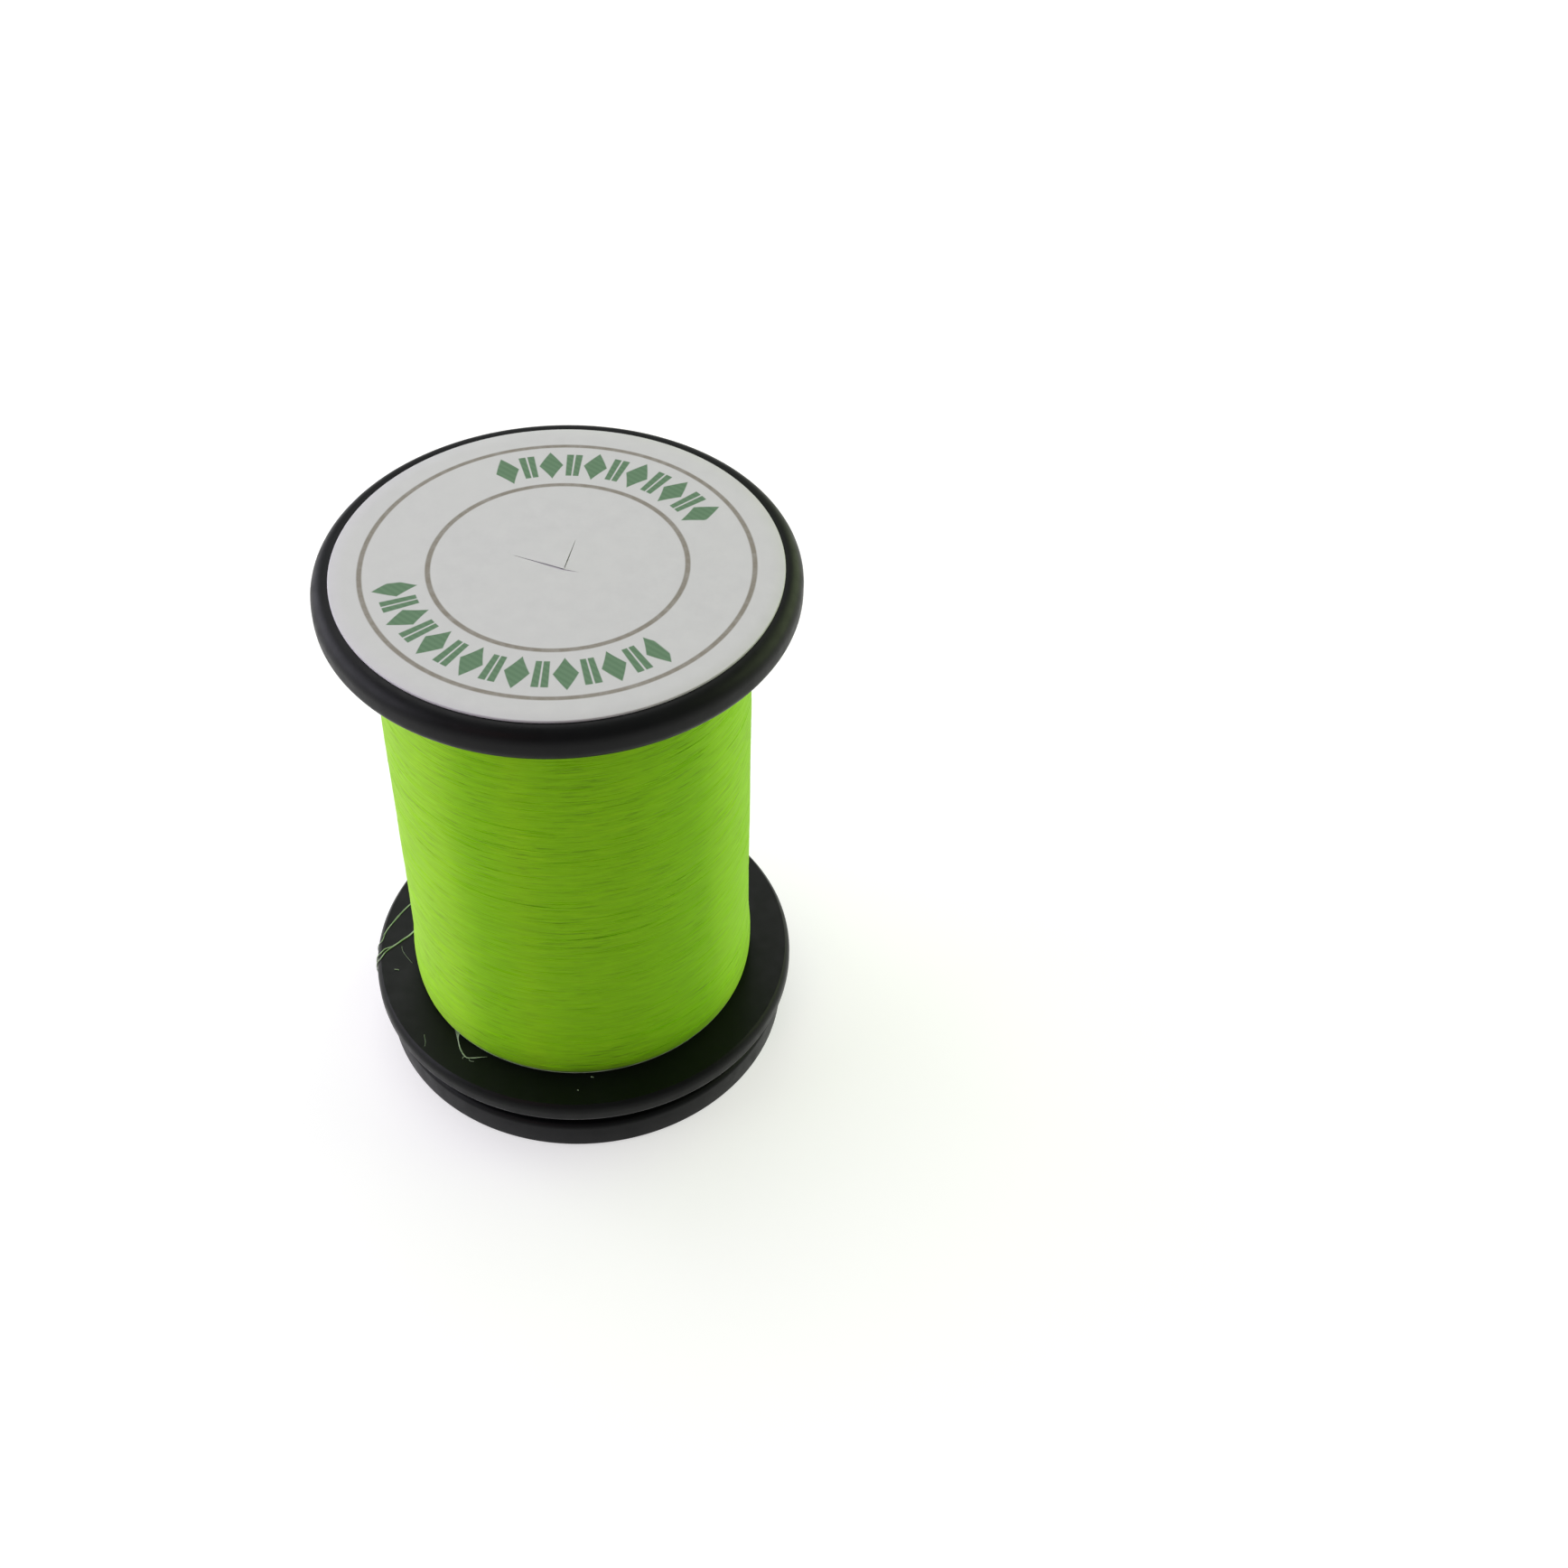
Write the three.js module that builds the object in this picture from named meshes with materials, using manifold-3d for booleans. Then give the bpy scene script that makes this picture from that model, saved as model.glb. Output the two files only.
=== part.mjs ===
// Thread spool for fly tying: a flanged hollow barrel wound with floss, with a pull-out snap base.
// Units are millimetres, +Z is up, and the origin is the centre of the face that the spool stands on.
import * as THREE from 'three';
import { mergeVertices } from 'three/addons/utils/BufferGeometryUtils.js';
import Module from 'manifold-3d';

const wasm = await Module();
wasm.setup();

// ---------------------------------------------------------------- driving dimensions

const segments = 60; // facets round every turned piece
const edgeSteps = 4; // facets across a rounded edge

// Radii, built outwards from the bore.
const boreRadius = 3.5;
const boreLedge = 0.8; // step from the bore out to the inside of the snap fingers
const fingerWall = 0.9;
const slideClearance = 0.15; // radial play between the snap base and the base flange
const barbCatch = 0.35; // how far a barb hooks over the lip
const sleeveWall = 1.12;
const pressClearance = 0.03;
const barrelWall = 1.0;
const windingDepth = 0.85;
const flangeRadius = 11.1;
const baseInset = 0.45; // the snap base is this much smaller in radius than the flanges

// Heights, stacked upwards from the face that the spool stands on.
const baseThickness = 1.6;
const grooveHeight = 1.0; // thread groove between the snap base and the base flange
const baseFlangeThickness = 1.2;
const windingLength = 24.78;
const topWebThickness = 1.5;
const labelThickness = 0.12;

// Snap base.
const baseTravel = 2.0; // how far the snap base pulls out
const endPlay = 0.05; // gap left between barb and lip at full travel
const nipClearance = 0.15; // gap that nips the thread end when the base is closed
const neckWall = 0.6;
const coreGrooveWidth = 0.8; // groove cored out of the underside, below the neck
const coreGrooveRoof = 0.7;
const footDepth = 0.2; // recess inside the foot ring
const footWidth = 0.7;
const footSlope = 0.2;
const baseEdgeRadius = 0.3;
const panDepth = 0.3; // recess in the top face, inside the rim lip
const rimLipWidth = 0.4;
const rimLipSlope = 0.2;
const lipRise = 1.0; // height of the catch lip above the base flange
const barbHeight = 0.5;
const barbTaperHeight = 0.7;
const barbTaperDepth = 0.8;
const fingerSlots = 4;
const slotWidth = 1.3;
const slotPhase = Math.PI / 4;

// Base flange.
const baseFlangeEdgeRadius = 0.25;
const sleeveCover = 0.8; // sleeve height above the finger tips
const sleeveChamfer = 0.3;
const entryChamfer = 0.25;
const keyClearance = 0.2; // side gap between a key rib and its slot
const keyDepth = 0.6;
const keyCount = 2;

// Spool body.
const topRimThickness = 1.75;
const topEdgeRadius = 0.75;
const rimUnderRadius = 0.6;
const rimFlat = 0.3;
const collarHeight = 2.5;
const collarWall = 0.9;

// Label.
const labelInset = 0.86; // label edge to the rim of the flange
const labelShift = -0.15; // the label is stuck on slightly off centre
const slitLength = 5.0;
const slitWidth = 0.12;
const slitAngles = [-28, 72];

// Winding.
const layerClearance = 0.03;
const outerThread = 0.5; // diameter of the outer layer's tube, which stands for a band of fine turns
const turnGap = 0.42; // least gap between turns
const mostTurns = 24;
const turnSteps = 24;
const tubeSides = 6;
const windingStart = 145; // degrees round from +X where the thread leaves the winding
const tailThread = 0.24;
const strandThread = 0.14;
const tailSides = 8;
const tailSteps = 56;

// ---------------------------------------------------------------- derived sizes

const stemBore = boreRadius + boreLedge;
const stemRadius = stemBore + fingerWall;
const lipRadius = stemRadius + slideClearance;
const barbRadius = lipRadius + barbCatch;
const recessRadius = barbRadius + slideClearance;
const sleeveRadius = recessRadius + sleeveWall;
const barrelBore = sleeveRadius + pressClearance;
const barrelRadius = barrelBore + barrelWall;
const windingRadius = barrelRadius + windingDepth;
const baseRadius = flangeRadius - baseInset;
const coreGrooveRadius = stemRadius + coreGrooveWidth;
const neckRadius = coreGrooveRadius + neckWall;

const flangeUnder = baseThickness + grooveHeight;
const flangeTop = flangeUnder + baseFlangeThickness;
const webUnder = flangeTop + windingLength;
const webTop = webUnder + topWebThickness;
const neckTop = flangeUnder - nipClearance;
const lipTop = flangeTop + lipRise;
const barbUnder = lipTop + baseTravel + endPlay;
const barbTop = barbUnder + barbHeight;
const fingerTop = barbTop + barbTaperHeight;
const sleeveTop = fingerTop + sleeveCover;

// ---------------------------------------------------------------- shape helpers

// Points of a rounded edge in the (radius, height) plane, from one angle to another in degrees.
function roundedEdge(centreRadius, centreHeight, edgeRadius, fromAngle, toAngle) {
  const points = [];
  for (let i = 0; i <= edgeSteps; i += 1) {
    const angle = THREE.MathUtils.degToRad(fromAngle + ((toAngle - fromAngle) * i) / edgeSteps);
    points.push([centreRadius + edgeRadius * Math.cos(angle), centreHeight + edgeRadius * Math.sin(angle)]);
  }
  return points;
}

// Turns a closed profile of [radius, height] points, listed counter-clockwise, about the Z axis.
function turned(profile) {
  const points = profile.map(([radius, height]) => new THREE.Vector2(radius, height));
  points.push(points[0].clone());
  const geometry = new THREE.LatheGeometry(points, segments);
  geometry.rotateX(Math.PI / 2);
  return geometry;
}

function toSolid(geometry) {
  const bare = geometry.clone();
  bare.deleteAttribute('normal');
  bare.deleteAttribute('uv');
  const merged = mergeVertices(bare, 1e-5);
  const vertProperties = new Float32Array(merged.getAttribute('position').array);
  const triVerts = new Uint32Array(merged.getIndex().array);
  return new wasm.Manifold(new wasm.Mesh({ numProp: 3, vertProperties, triVerts }));
}

function toGeometry(solid) {
  const mesh = solid.getMesh();
  const geometry = new THREE.BufferGeometry();
  geometry.setAttribute('position', new THREE.BufferAttribute(mesh.vertProperties, 3));
  geometry.setIndex(new THREE.BufferAttribute(mesh.triVerts, 1));
  geometry.computeVertexNormals();
  return geometry;
}

// A block between two radii, standing on one ray from the axis.
function radialBlock(innerRadius, outerRadius, width, bottom, top, angle) {
  const geometry = new THREE.BoxGeometry(outerRadius - innerRadius, width, top - bottom);
  geometry.translate((innerRadius + outerRadius) / 2, 0, (bottom + top) / 2);
  geometry.rotateZ(angle);
  return toSolid(geometry);
}

// A point given by its radius, its angle round from +X in degrees, and its height.
function around(radius, degrees, height) {
  const angle = THREE.MathUtils.degToRad(degrees);
  return new THREE.Vector3(radius * Math.cos(angle), radius * Math.sin(angle), height);
}

// ---------------------------------------------------------------- moulded pieces

// Barrel and top flange in one moulding, open below, with a collar round the bore.
function spoolBody() {
  const rimUnder = webTop - topRimThickness;
  const rimDrop = webUnder - rimUnder;
  const rimInner = flangeRadius - rimUnderRadius - rimFlat;
  const collarRadius = boreRadius + collarWall;
  return turned([
    [barrelBore, flangeTop],
    [barrelRadius, flangeTop],
    [barrelRadius, webUnder],
    [rimInner - rimDrop, webUnder],
    [rimInner, rimUnder],
    ...roundedEdge(flangeRadius - rimUnderRadius, rimUnder + rimUnderRadius, rimUnderRadius, -90, 0),
    ...roundedEdge(flangeRadius - topEdgeRadius, webTop - topEdgeRadius, topEdgeRadius, 0, 90),
    [boreRadius, webTop],
    [boreRadius, webUnder - collarHeight],
    [collarRadius, webUnder - collarHeight],
    [collarRadius, webUnder],
    [barrelBore, webUnder],
  ]);
}

// Base flange with a sleeve pressed into the barrel. The sleeve guides the snap fingers, its lip
// catches their barbs, and two key ribs stand in the finger slots so that the base can't turn.
function baseFlange() {
  const edge = flangeRadius - baseFlangeEdgeRadius;
  const body = turned([
    [lipRadius + entryChamfer, flangeUnder],
    ...roundedEdge(edge, flangeUnder + baseFlangeEdgeRadius, baseFlangeEdgeRadius, -90, 0),
    ...roundedEdge(edge, flangeTop - baseFlangeEdgeRadius, baseFlangeEdgeRadius, 0, 90),
    [sleeveRadius, flangeTop],
    [sleeveRadius, sleeveTop - sleeveChamfer],
    [sleeveRadius - sleeveChamfer, sleeveTop],
    [recessRadius, sleeveTop],
    [recessRadius, lipTop],
    [lipRadius, lipTop],
    [lipRadius, flangeUnder + entryChamfer],
  ]);
  const keyWidth = slotWidth - 2 * keyClearance;
  let solid = toSolid(body);
  for (let i = 0; i < keyCount; i += 1) {
    const angle = slotPhase + (i * 2 * Math.PI) / keyCount;
    const keyBottom = flangeUnder + entryChamfer;
    const keyTop = sleeveTop - sleeveChamfer;
    const keyRoot = recessRadius + sleeveWall / 2;
    const key = radialBlock(lipRadius - keyDepth, keyRoot, keyWidth, keyBottom, keyTop, angle);
    solid = solid.add(key);
  }
  return toGeometry(solid);
}

// Snap base: a foot disc, a neck that nips the thread end, and split fingers with barbs.
function snapBase() {
  const edge = baseRadius - baseEdgeRadius;
  const panFloor = baseThickness - panDepth;
  const body = turned([
    [boreRadius, footDepth],
    [stemRadius, footDepth],
    [stemRadius, neckTop - coreGrooveRoof],
    [coreGrooveRadius, neckTop - coreGrooveRoof],
    [coreGrooveRadius, footDepth],
    [edge - footWidth - footSlope, footDepth],
    [edge - footWidth, 0],
    ...roundedEdge(edge, baseEdgeRadius, baseEdgeRadius, -90, 0),
    ...roundedEdge(edge, baseThickness - baseEdgeRadius, baseEdgeRadius, 0, 90),
    [edge - rimLipWidth, baseThickness],
    [edge - rimLipWidth - rimLipSlope, panFloor],
    [neckRadius, panFloor],
    [neckRadius, neckTop],
    [stemRadius, neckTop],
    [stemRadius, barbUnder],
    [barbRadius, barbUnder],
    [barbRadius, barbTop],
    [barbRadius - barbTaperDepth, fingerTop],
    [stemBore, fingerTop],
    [stemBore, baseThickness],
    [boreRadius, baseThickness],
  ]);
  let solid = toSolid(body);
  for (let i = 0; i < fingerSlots; i += 1) {
    const angle = slotPhase + (i * 2 * Math.PI) / fingerSlots;
    const inner = boreRadius + boreLedge / 2;
    const outer = recessRadius;
    const slot = radialBlock(inner, outer, slotWidth, neckTop, fingerTop + sleeveCover, angle);
    solid = solid.subtract(slot);
  }
  return toGeometry(solid);
}

// ---------------------------------------------------------------- label

// Paper disc on the top flange, slit crosswise over the bore so that a peg can push through.
function topLabel() {
  const labelRadius = flangeRadius - labelInset;
  const disc = new THREE.CylinderGeometry(labelRadius, labelRadius, labelThickness, segments);
  disc.rotateX(Math.PI / 2);
  disc.translate(0, labelShift, webTop + labelThickness / 2);
  let solid = toSolid(disc);
  for (const degrees of slitAngles) {
    const slit = new THREE.BoxGeometry(slitLength, slitWidth, 3 * labelThickness);
    slit.rotateZ(THREE.MathUtils.degToRad(degrees));
    slit.translate(0, 0, webTop + labelThickness / 2);
    solid = solid.subtract(toSolid(slit));
  }
  return toGeometry(solid);
}

// ---------------------------------------------------------------- thread

// The outer layer's chords cut inside its ring, so the core stays below them.
const coreRadius = (windingRadius - outerThread) * Math.cos(Math.PI / turnSteps) - layerClearance;
const coilRadius = windingRadius - outerThread / 2;
const coilBottom = flangeTop + layerClearance + outerThread / 2;
const coilTop = webUnder - layerClearance - 2 * outerThread;

// Inner layers of thread, packed solid.
function threadCore() {
  const inner = barrelRadius + layerClearance;
  const bottom = flangeTop + layerClearance;
  const top = webUnder - layerClearance;
  return turned([
    [inner, bottom],
    [coreRadius, bottom],
    [coreRadius, top],
    [inner, top],
  ]);
}

// Centre line of the outer layer. It starts with a straight run that faces the tail, climbs the
// barrel turn by turn, and ends with a straight run up to the top flange.
function coilLine() {
  const turns = Math.min(mostTurns, Math.floor((coilTop - coilBottom) / (outerThread + turnGap)));
  const line = [];
  const leave = around(coilRadius, windingStart, coilBottom);
  const onward = around(1, windingStart + 90, 0);
  line.push(leave.clone().addScaledVector(onward, outerThread));
  const steps = turns * turnSteps;
  for (let i = 0; i <= steps; i += 1) {
    const degrees = windingStart - (i * 360) / turnSteps;
    line.push(around(coilRadius, degrees, coilBottom + ((coilTop - coilBottom) * i) / steps));
  }
  const last = windingStart - turns * 360;
  const bendRadius = outerThread;
  const bendDegrees = THREE.MathUtils.radToDeg(bendRadius / coilRadius);
  for (const quarter of [0.5, 1]) {
    const angle = (quarter * Math.PI) / 2;
    const lift = bendRadius * (1 - Math.cos(angle));
    line.push(around(coilRadius, last - bendDegrees * Math.sin(angle), coilTop + lift));
  }
  line.push(around(coilRadius, last - bendDegrees, webUnder - layerClearance));
  return line;
}

// Least distance between turns, measured from each point of the centre line to the runs of the
// line that are more than half a turn away.
function leastGap(line) {
  let least = Infinity;
  const nearest = new THREE.Vector3();
  for (let i = 0; i < line.length; i += 1) {
    for (let j = i + turnSteps / 2; j + 1 < line.length; j += 1) {
      new THREE.Line3(line[j], line[j + 1]).closestPointToPoint(line[i], true, nearest);
      least = Math.min(least, nearest.distanceTo(line[i]));
    }
  }
  return least - outerThread;
}

// One unbroken closed tube along a line on the barrel. Each ring has a corner pointing out from
// the barrel, and the ends are flat caps.
function barrelTube(line, radius, sides) {
  const positions = [];
  const indices = [];
  for (let i = 0; i < line.length; i += 1) {
    const before = line[Math.max(i - 1, 0)];
    const after = line[Math.min(i + 1, line.length - 1)];
    const along = after.clone().sub(before).normalize();
    const outward = new THREE.Vector3(line[i].x, line[i].y, 0).normalize();
    outward.addScaledVector(along, -outward.dot(along)).normalize();
    const across = new THREE.Vector3().crossVectors(along, outward);
    for (let k = 0; k < sides; k += 1) {
      const angle = (k * 2 * Math.PI) / sides;
      const corner = line[i].clone();
      corner.addScaledVector(outward, radius * Math.cos(angle));
      corner.addScaledVector(across, radius * Math.sin(angle));
      positions.push(corner.x, corner.y, corner.z);
    }
  }
  for (let i = 0; i + 1 < line.length; i += 1) {
    for (let k = 0; k < sides; k += 1) {
      const a = i * sides + k;
      const b = i * sides + ((k + 1) % sides);
      indices.push(a, b, a + sides);
      indices.push(b, b + sides, a + sides);
    }
  }
  const lastRing = (line.length - 1) * sides;
  for (let k = 1; k + 1 < sides; k += 1) {
    indices.push(0, k + 1, k);
    indices.push(lastRing, lastRing + k, lastRing + k + 1);
  }
  const geometry = new THREE.BufferGeometry();
  geometry.setAttribute('position', new THREE.Float32BufferAttribute(positions, 3));
  geometry.setIndex(indices);
  geometry.computeVertexNormals();
  return geometry;
}

// Outer layer of turns.
function threadOuterLayer() {
  const line = coilLine();
  console.log(`outer layer: least gap between turns ${leastGap(line).toFixed(3)} mm`);
  return barrelTube(line, outerThread / 2, tubeSides);
}

// A loose thread: a tube of the given diameter through a route of points.
function looseThread(route, diameter) {
  const section = new THREE.Shape();
  for (let k = 0; k < tailSides; k += 1) {
    const angle = (k * 2 * Math.PI) / tailSides;
    const x = (diameter / 2) * Math.cos(angle);
    const y = (diameter / 2) * Math.sin(angle);
    if (k === 0) section.moveTo(x, y);
    else section.lineTo(x, y);
  }
  section.closePath();
  const extrudePath = new THREE.CatmullRomCurve3(route, false, 'centripetal');
  return new THREE.ExtrudeGeometry(section, { steps: tailSteps, extrudePath, curveSegments: 1 });
}

// A point on the base flange: how far out it is from the winding to the rim, as a share of that
// width, then its angle in degrees from where the thread leaves the winding, and its height.
function onFlange(share, degrees, height) {
  return around(windingRadius + share * (flangeRadius - windingRadius), windingStart + degrees, height);
}

// A point in the groove: how far out it is from the neck to the rim and how deep it is below the
// base flange, both as shares, and its angle from where the thread leaves the winding.
function inGroove(share, degrees, depth) {
  const radius = neckRadius + share * (flangeRadius - neckRadius);
  return around(radius, windingStart + degrees, flangeUnder - depth * grooveHeight);
}

// Points that carry a thread of the given diameter over the rounded rim of the base flange.
function overRim(diameter, degrees, slant) {
  const offset = baseFlangeEdgeRadius + diameter / 2 + layerClearance;
  const edge = flangeRadius - baseFlangeEdgeRadius;
  const upper = flangeTop - baseFlangeEdgeRadius;
  const lower = flangeUnder + baseFlangeEdgeRadius;
  const points = [];
  for (const [height, tilts] of [[upper, [90, 60, 30, 0]], [lower, [0, -30, -60, -90]]]) {
    for (const tilt of tilts) {
      const angle = THREE.MathUtils.degToRad(tilt);
      const along = windingStart + degrees + (slant * (90 - tilt)) / 180;
      points.push(around(edge + offset * Math.cos(angle), along, height + offset * Math.sin(angle)));
    }
  }
  return points;
}

// The thread's free end: off the winding, over the rim and round the neck in the groove.
function threadTail() {
  const lie = flangeTop + layerClearance + tailThread / 2;
  const leave = around(coilRadius, windingStart, coilBottom);
  const onward = around(1, windingStart + 90, 0);
  const start = leave.clone().addScaledVector(onward, outerThread + layerClearance);
  const route = [
    start,
    start.clone().addScaledVector(onward, 2 * tailThread),
    onFlange(0.07, 12, lie + tailThread / 4),
    onFlange(0.09, 18, lie),
    onFlange(0.16, 23, lie),
    onFlange(0.29, 26.5, lie),
    onFlange(0.56, 30, lie),
    ...overRim(tailThread, 33.2, 3.6),
    inGroove(0.75, 41, 0.18),
    inGroove(0.55, 50, 0.28),
    inGroove(0.32, 68, 0.38),
    inGroove(0.14, 95, 0.45),
    inGroove(0.07, 125, 0.5),
  ];
  return looseThread(route, tailThread);
}

// A fine strand that has split from the free end and takes its own way over the rim.
function threadTailStrand() {
  const lie = flangeTop + layerClearance + strandThread / 2;
  const route = [
    onFlange(0.06, -7, lie + 2 * strandThread),
    onFlange(0.07, -2, lie + strandThread),
    onFlange(0.12, 2, lie + strandThread / 2),
    onFlange(0.27, 6.5, lie),
    onFlange(0.42, 11, lie),
    onFlange(0.57, 15.5, lie),
    onFlange(0.73, 19.5, lie),
    ...overRim(strandThread, 23.5, 5),
    inGroove(0.73, 31, 0.2),
    inGroove(0.48, 40, 0.38),
    inGroove(0.2, 56, 0.55),
    inGroove(0.06, 78, 0.7),
  ];
  return looseThread(route, strandThread);
}

// ---------------------------------------------------------------- assembly

function plastic(color) {
  return new THREE.MeshStandardMaterial({ color, roughness: 0.45, metalness: 0 });
}

function floss(color) {
  return new THREE.MeshStandardMaterial({ color, roughness: 0.4, metalness: 0 });
}

function paper(color) {
  return new THREE.MeshStandardMaterial({ color, roughness: 0.7, metalness: 0 });
}

function named(name, geometry, material) {
  const mesh = new THREE.Mesh(geometry, material);
  mesh.name = name;
  return mesh;
}

const spool = new THREE.Group();
spool.name = 'thread_spool';

const fixed = new THREE.Group();
fixed.add(named('spool_body', spoolBody(), plastic(0x1c1c1e)));
fixed.add(named('base_flange', baseFlange(), plastic(0x1d1d20)));
fixed.add(named('top_label', topLabel(), paper(0xe4e4e8)));
fixed.add(named('thread_core', threadCore(), floss(0x86c81a)));
fixed.add(named('thread_outer_layer', threadOuterLayer(), floss(0x9be026)));
fixed.add(named('thread_tail', threadTail(), floss(0xa6e43c)));
fixed.add(named('thread_tail_strand', threadTailStrand(), floss(0xb6ea60)));
spool.add(fixed);

const sliding = new THREE.Group();
sliding.add(named('snap_base', snapBase(), plastic(0x1a1a1c)));
spool.add(sliding);

export default spool;
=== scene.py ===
import math

import bmesh
import bpy
import numpy as np
from mathutils import Matrix, Vector


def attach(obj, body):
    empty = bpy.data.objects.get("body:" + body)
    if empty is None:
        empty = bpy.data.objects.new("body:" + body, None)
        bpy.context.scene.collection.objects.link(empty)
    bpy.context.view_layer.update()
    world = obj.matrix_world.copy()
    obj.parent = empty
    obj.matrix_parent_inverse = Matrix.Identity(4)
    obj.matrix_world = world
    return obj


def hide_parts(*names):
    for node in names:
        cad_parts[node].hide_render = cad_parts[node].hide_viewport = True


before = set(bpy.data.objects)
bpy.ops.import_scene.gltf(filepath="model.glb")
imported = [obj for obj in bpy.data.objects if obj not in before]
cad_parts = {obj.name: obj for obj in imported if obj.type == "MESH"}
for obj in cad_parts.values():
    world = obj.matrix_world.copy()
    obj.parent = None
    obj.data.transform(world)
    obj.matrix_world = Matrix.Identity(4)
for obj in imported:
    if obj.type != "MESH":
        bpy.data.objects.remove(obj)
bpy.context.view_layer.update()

# Sizes are in millimetres, as in the CAD source, and are turned to metres as a mesh is made.
MM = 0.001
TAU = 2 * math.pi
ROUND = 192  # facets round a turned piece
EDGE_STEPS = 8  # facets across a rounded edge
SHARP_ANGLE = 38  # degrees between faces above which a moulded edge stays sharp

# ------------------------------------------------------------------ sizes of the spool

# Radii, from the axis outwards.
BORE = 3.5
STEM_BORE = 4.3
STEM = 5.2
LIP = 5.35
BARB = 5.7
RECESS = 5.85
CORE_GROOVE = 6.0
NECK = 6.6
SLEEVE = 6.97
BARREL_BORE = 7.0
BARREL = 8.0
WINDING = 8.85
BASE = 10.65
FLANGE = 11.1

# Heights, from the face that the spool stands on.
FOOT_DEPTH = 0.2
BASE_TOP = 1.75
NECK_TOP = 2.45
FLANGE_UNDER = 2.8
FLANGE_TOP = 3.8
LIP_TOP = 4.8
BARB_UNDER = 6.85
BARB_TOP = 7.35
FINGER_TOP = 8.05
SLEEVE_TOP = 8.85
COLLAR_BOTTOM = 26.08
WEB_UNDER = 28.58
WEB_TOP = 30.08
LABEL_TOP = 30.2

# Top flange.
RIM_THICKNESS = 1.75
RIM_EDGE = 0.75  # radius of the upper edge of the rim
RIM_UNDER_EDGE = 0.6
RIM_FLAT = 0.3
COLLAR_WALL = 0.9

# Base flange.
FLANGE_EDGE = 0.28  # radius of its lower edge
CROWN = 0.70  # radius of its outer edge, which meets its face at a crisp corner
CROWN_TILT = 50  # degrees of turn from the side wall to that corner
CORNER_WIDTH = 0.04
FACE_RISE = 0.12  # how much higher its face is at that corner than at the winding
FACE_RISE_FROM = 9.3
ENTRY_CHAMFER = 0.25
SLEEVE_CHAMFER = 0.3
KEY_WIDTH = 0.9
KEY_DEPTH = 0.6
KEY_FOOT = 0.56  # how far a key rib runs on into the wall of the sleeve

# Snap base.
BASE_EDGE = 0.3
FOOT_WIDTH = 0.7
FOOT_SLOPE = 0.2
PAN_DEPTH = 0.3  # recess in the top face, inside the lip of the rim
RIM_LIP = 0.4
RIM_LIP_SLOPE = 0.2
CORE_ROOF = 0.7
BARB_TAPER = 0.8
SLOTS = 4
SLOT_WIDTH = 1.3

# Label.
LABEL_RADIUS = 10.24
LABEL_SHIFT = -0.15
LABEL_UNDER = WEB_TOP + 0.004

# ------------------------------------------------------------------ mesh helpers


def mesh_object(name, points_mm, faces, smooth_angle=SHARP_ANGLE):
    """An object from points in millimetres. Edges sharper than smooth_angle stay sharp."""
    mesh = bpy.data.meshes.new(name)
    mesh.from_pydata([tuple(p) for p in np.asarray(points_mm, float) * MM], [], faces)
    mesh.validate()
    mesh.polygons.foreach_set("use_smooth", [True] * len(mesh.polygons))
    if smooth_angle < 180:
        mesh.set_sharp_from_angle(angle=math.radians(smooth_angle))
    obj = bpy.data.objects.new(name, mesh)
    bpy.context.scene.collection.objects.link(obj)
    return obj


def face_outwards(obj):
    """Turns the faces of a closed mesh outwards and keeps its edges sharp."""
    bm = bmesh.new()
    bm.from_mesh(obj.data)
    bmesh.ops.recalc_face_normals(bm, faces=bm.faces)
    for face in bm.faces:
        face.smooth = True
    bm.to_mesh(obj.data)
    bm.free()
    obj.data.set_sharp_from_angle(angle=math.radians(40))
    return obj


def arc(radius, height, size, start, end):
    """Points of a rounded edge in the (radius, height) plane, between two angles in degrees."""
    angles = np.radians(np.linspace(start, end, EDGE_STEPS + 1))
    return [(radius + size * math.cos(a), height + size * math.sin(a)) for a in angles]


def turned(name, profile):
    """A closed profile, listed counter-clockwise, turned about the Z axis."""
    profile = np.array(profile, float)
    n = len(profile)
    angles = np.arange(ROUND) * TAU / ROUND
    points = np.empty((ROUND, n, 3))
    points[:, :, 0] = profile[:, 0] * np.cos(angles)[:, None]
    points[:, :, 1] = profile[:, 0] * np.sin(angles)[:, None]
    points[:, :, 2] = profile[:, 1]
    faces = []
    for i in range(ROUND):
        a, b = i * n, ((i + 1) % ROUND) * n
        for k in range(n):
            m = (k + 1) % n
            faces.append((a + k, b + k, b + m, a + m))
    return mesh_object(name, points.reshape(-1, 3), faces)


def block(name, inner, outer, width, bottom, top, angle):
    """A block between two radii that stands on one ray from the axis."""
    half = width / 2
    obj = mesh_object(
        name,
        [(x, y, z) for x in (inner, outer) for y in (-half, half) for z in (bottom, top)],
        [(0, 1, 3, 2), (4, 6, 7, 5), (0, 4, 5, 1), (2, 3, 7, 6), (0, 2, 6, 4), (1, 5, 7, 3)],
    )
    obj.data.transform(Matrix.Rotation(angle, 4, "Z"))
    return obj


def combine(obj, others, operation):
    """Joins other solids to obj, or cuts them out of it."""
    for other in others:
        modifier = obj.modifiers.new("combine", "BOOLEAN")
        modifier.operation = operation
        modifier.solver = "EXACT"
        modifier.object = other
    depsgraph = bpy.context.evaluated_depsgraph_get()
    depsgraph.update()
    mesh = bpy.data.meshes.new_from_object(obj.evaluated_get(depsgraph))
    obj.modifiers.clear()
    obj.data = mesh
    for other in others:
        bpy.data.objects.remove(other)
    mesh.polygons.foreach_set("use_smooth", [True] * len(mesh.polygons))
    mesh.set_sharp_from_angle(angle=math.radians(SHARP_ANGLE))
    return obj


# ------------------------------------------------------------------ material helpers


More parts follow.
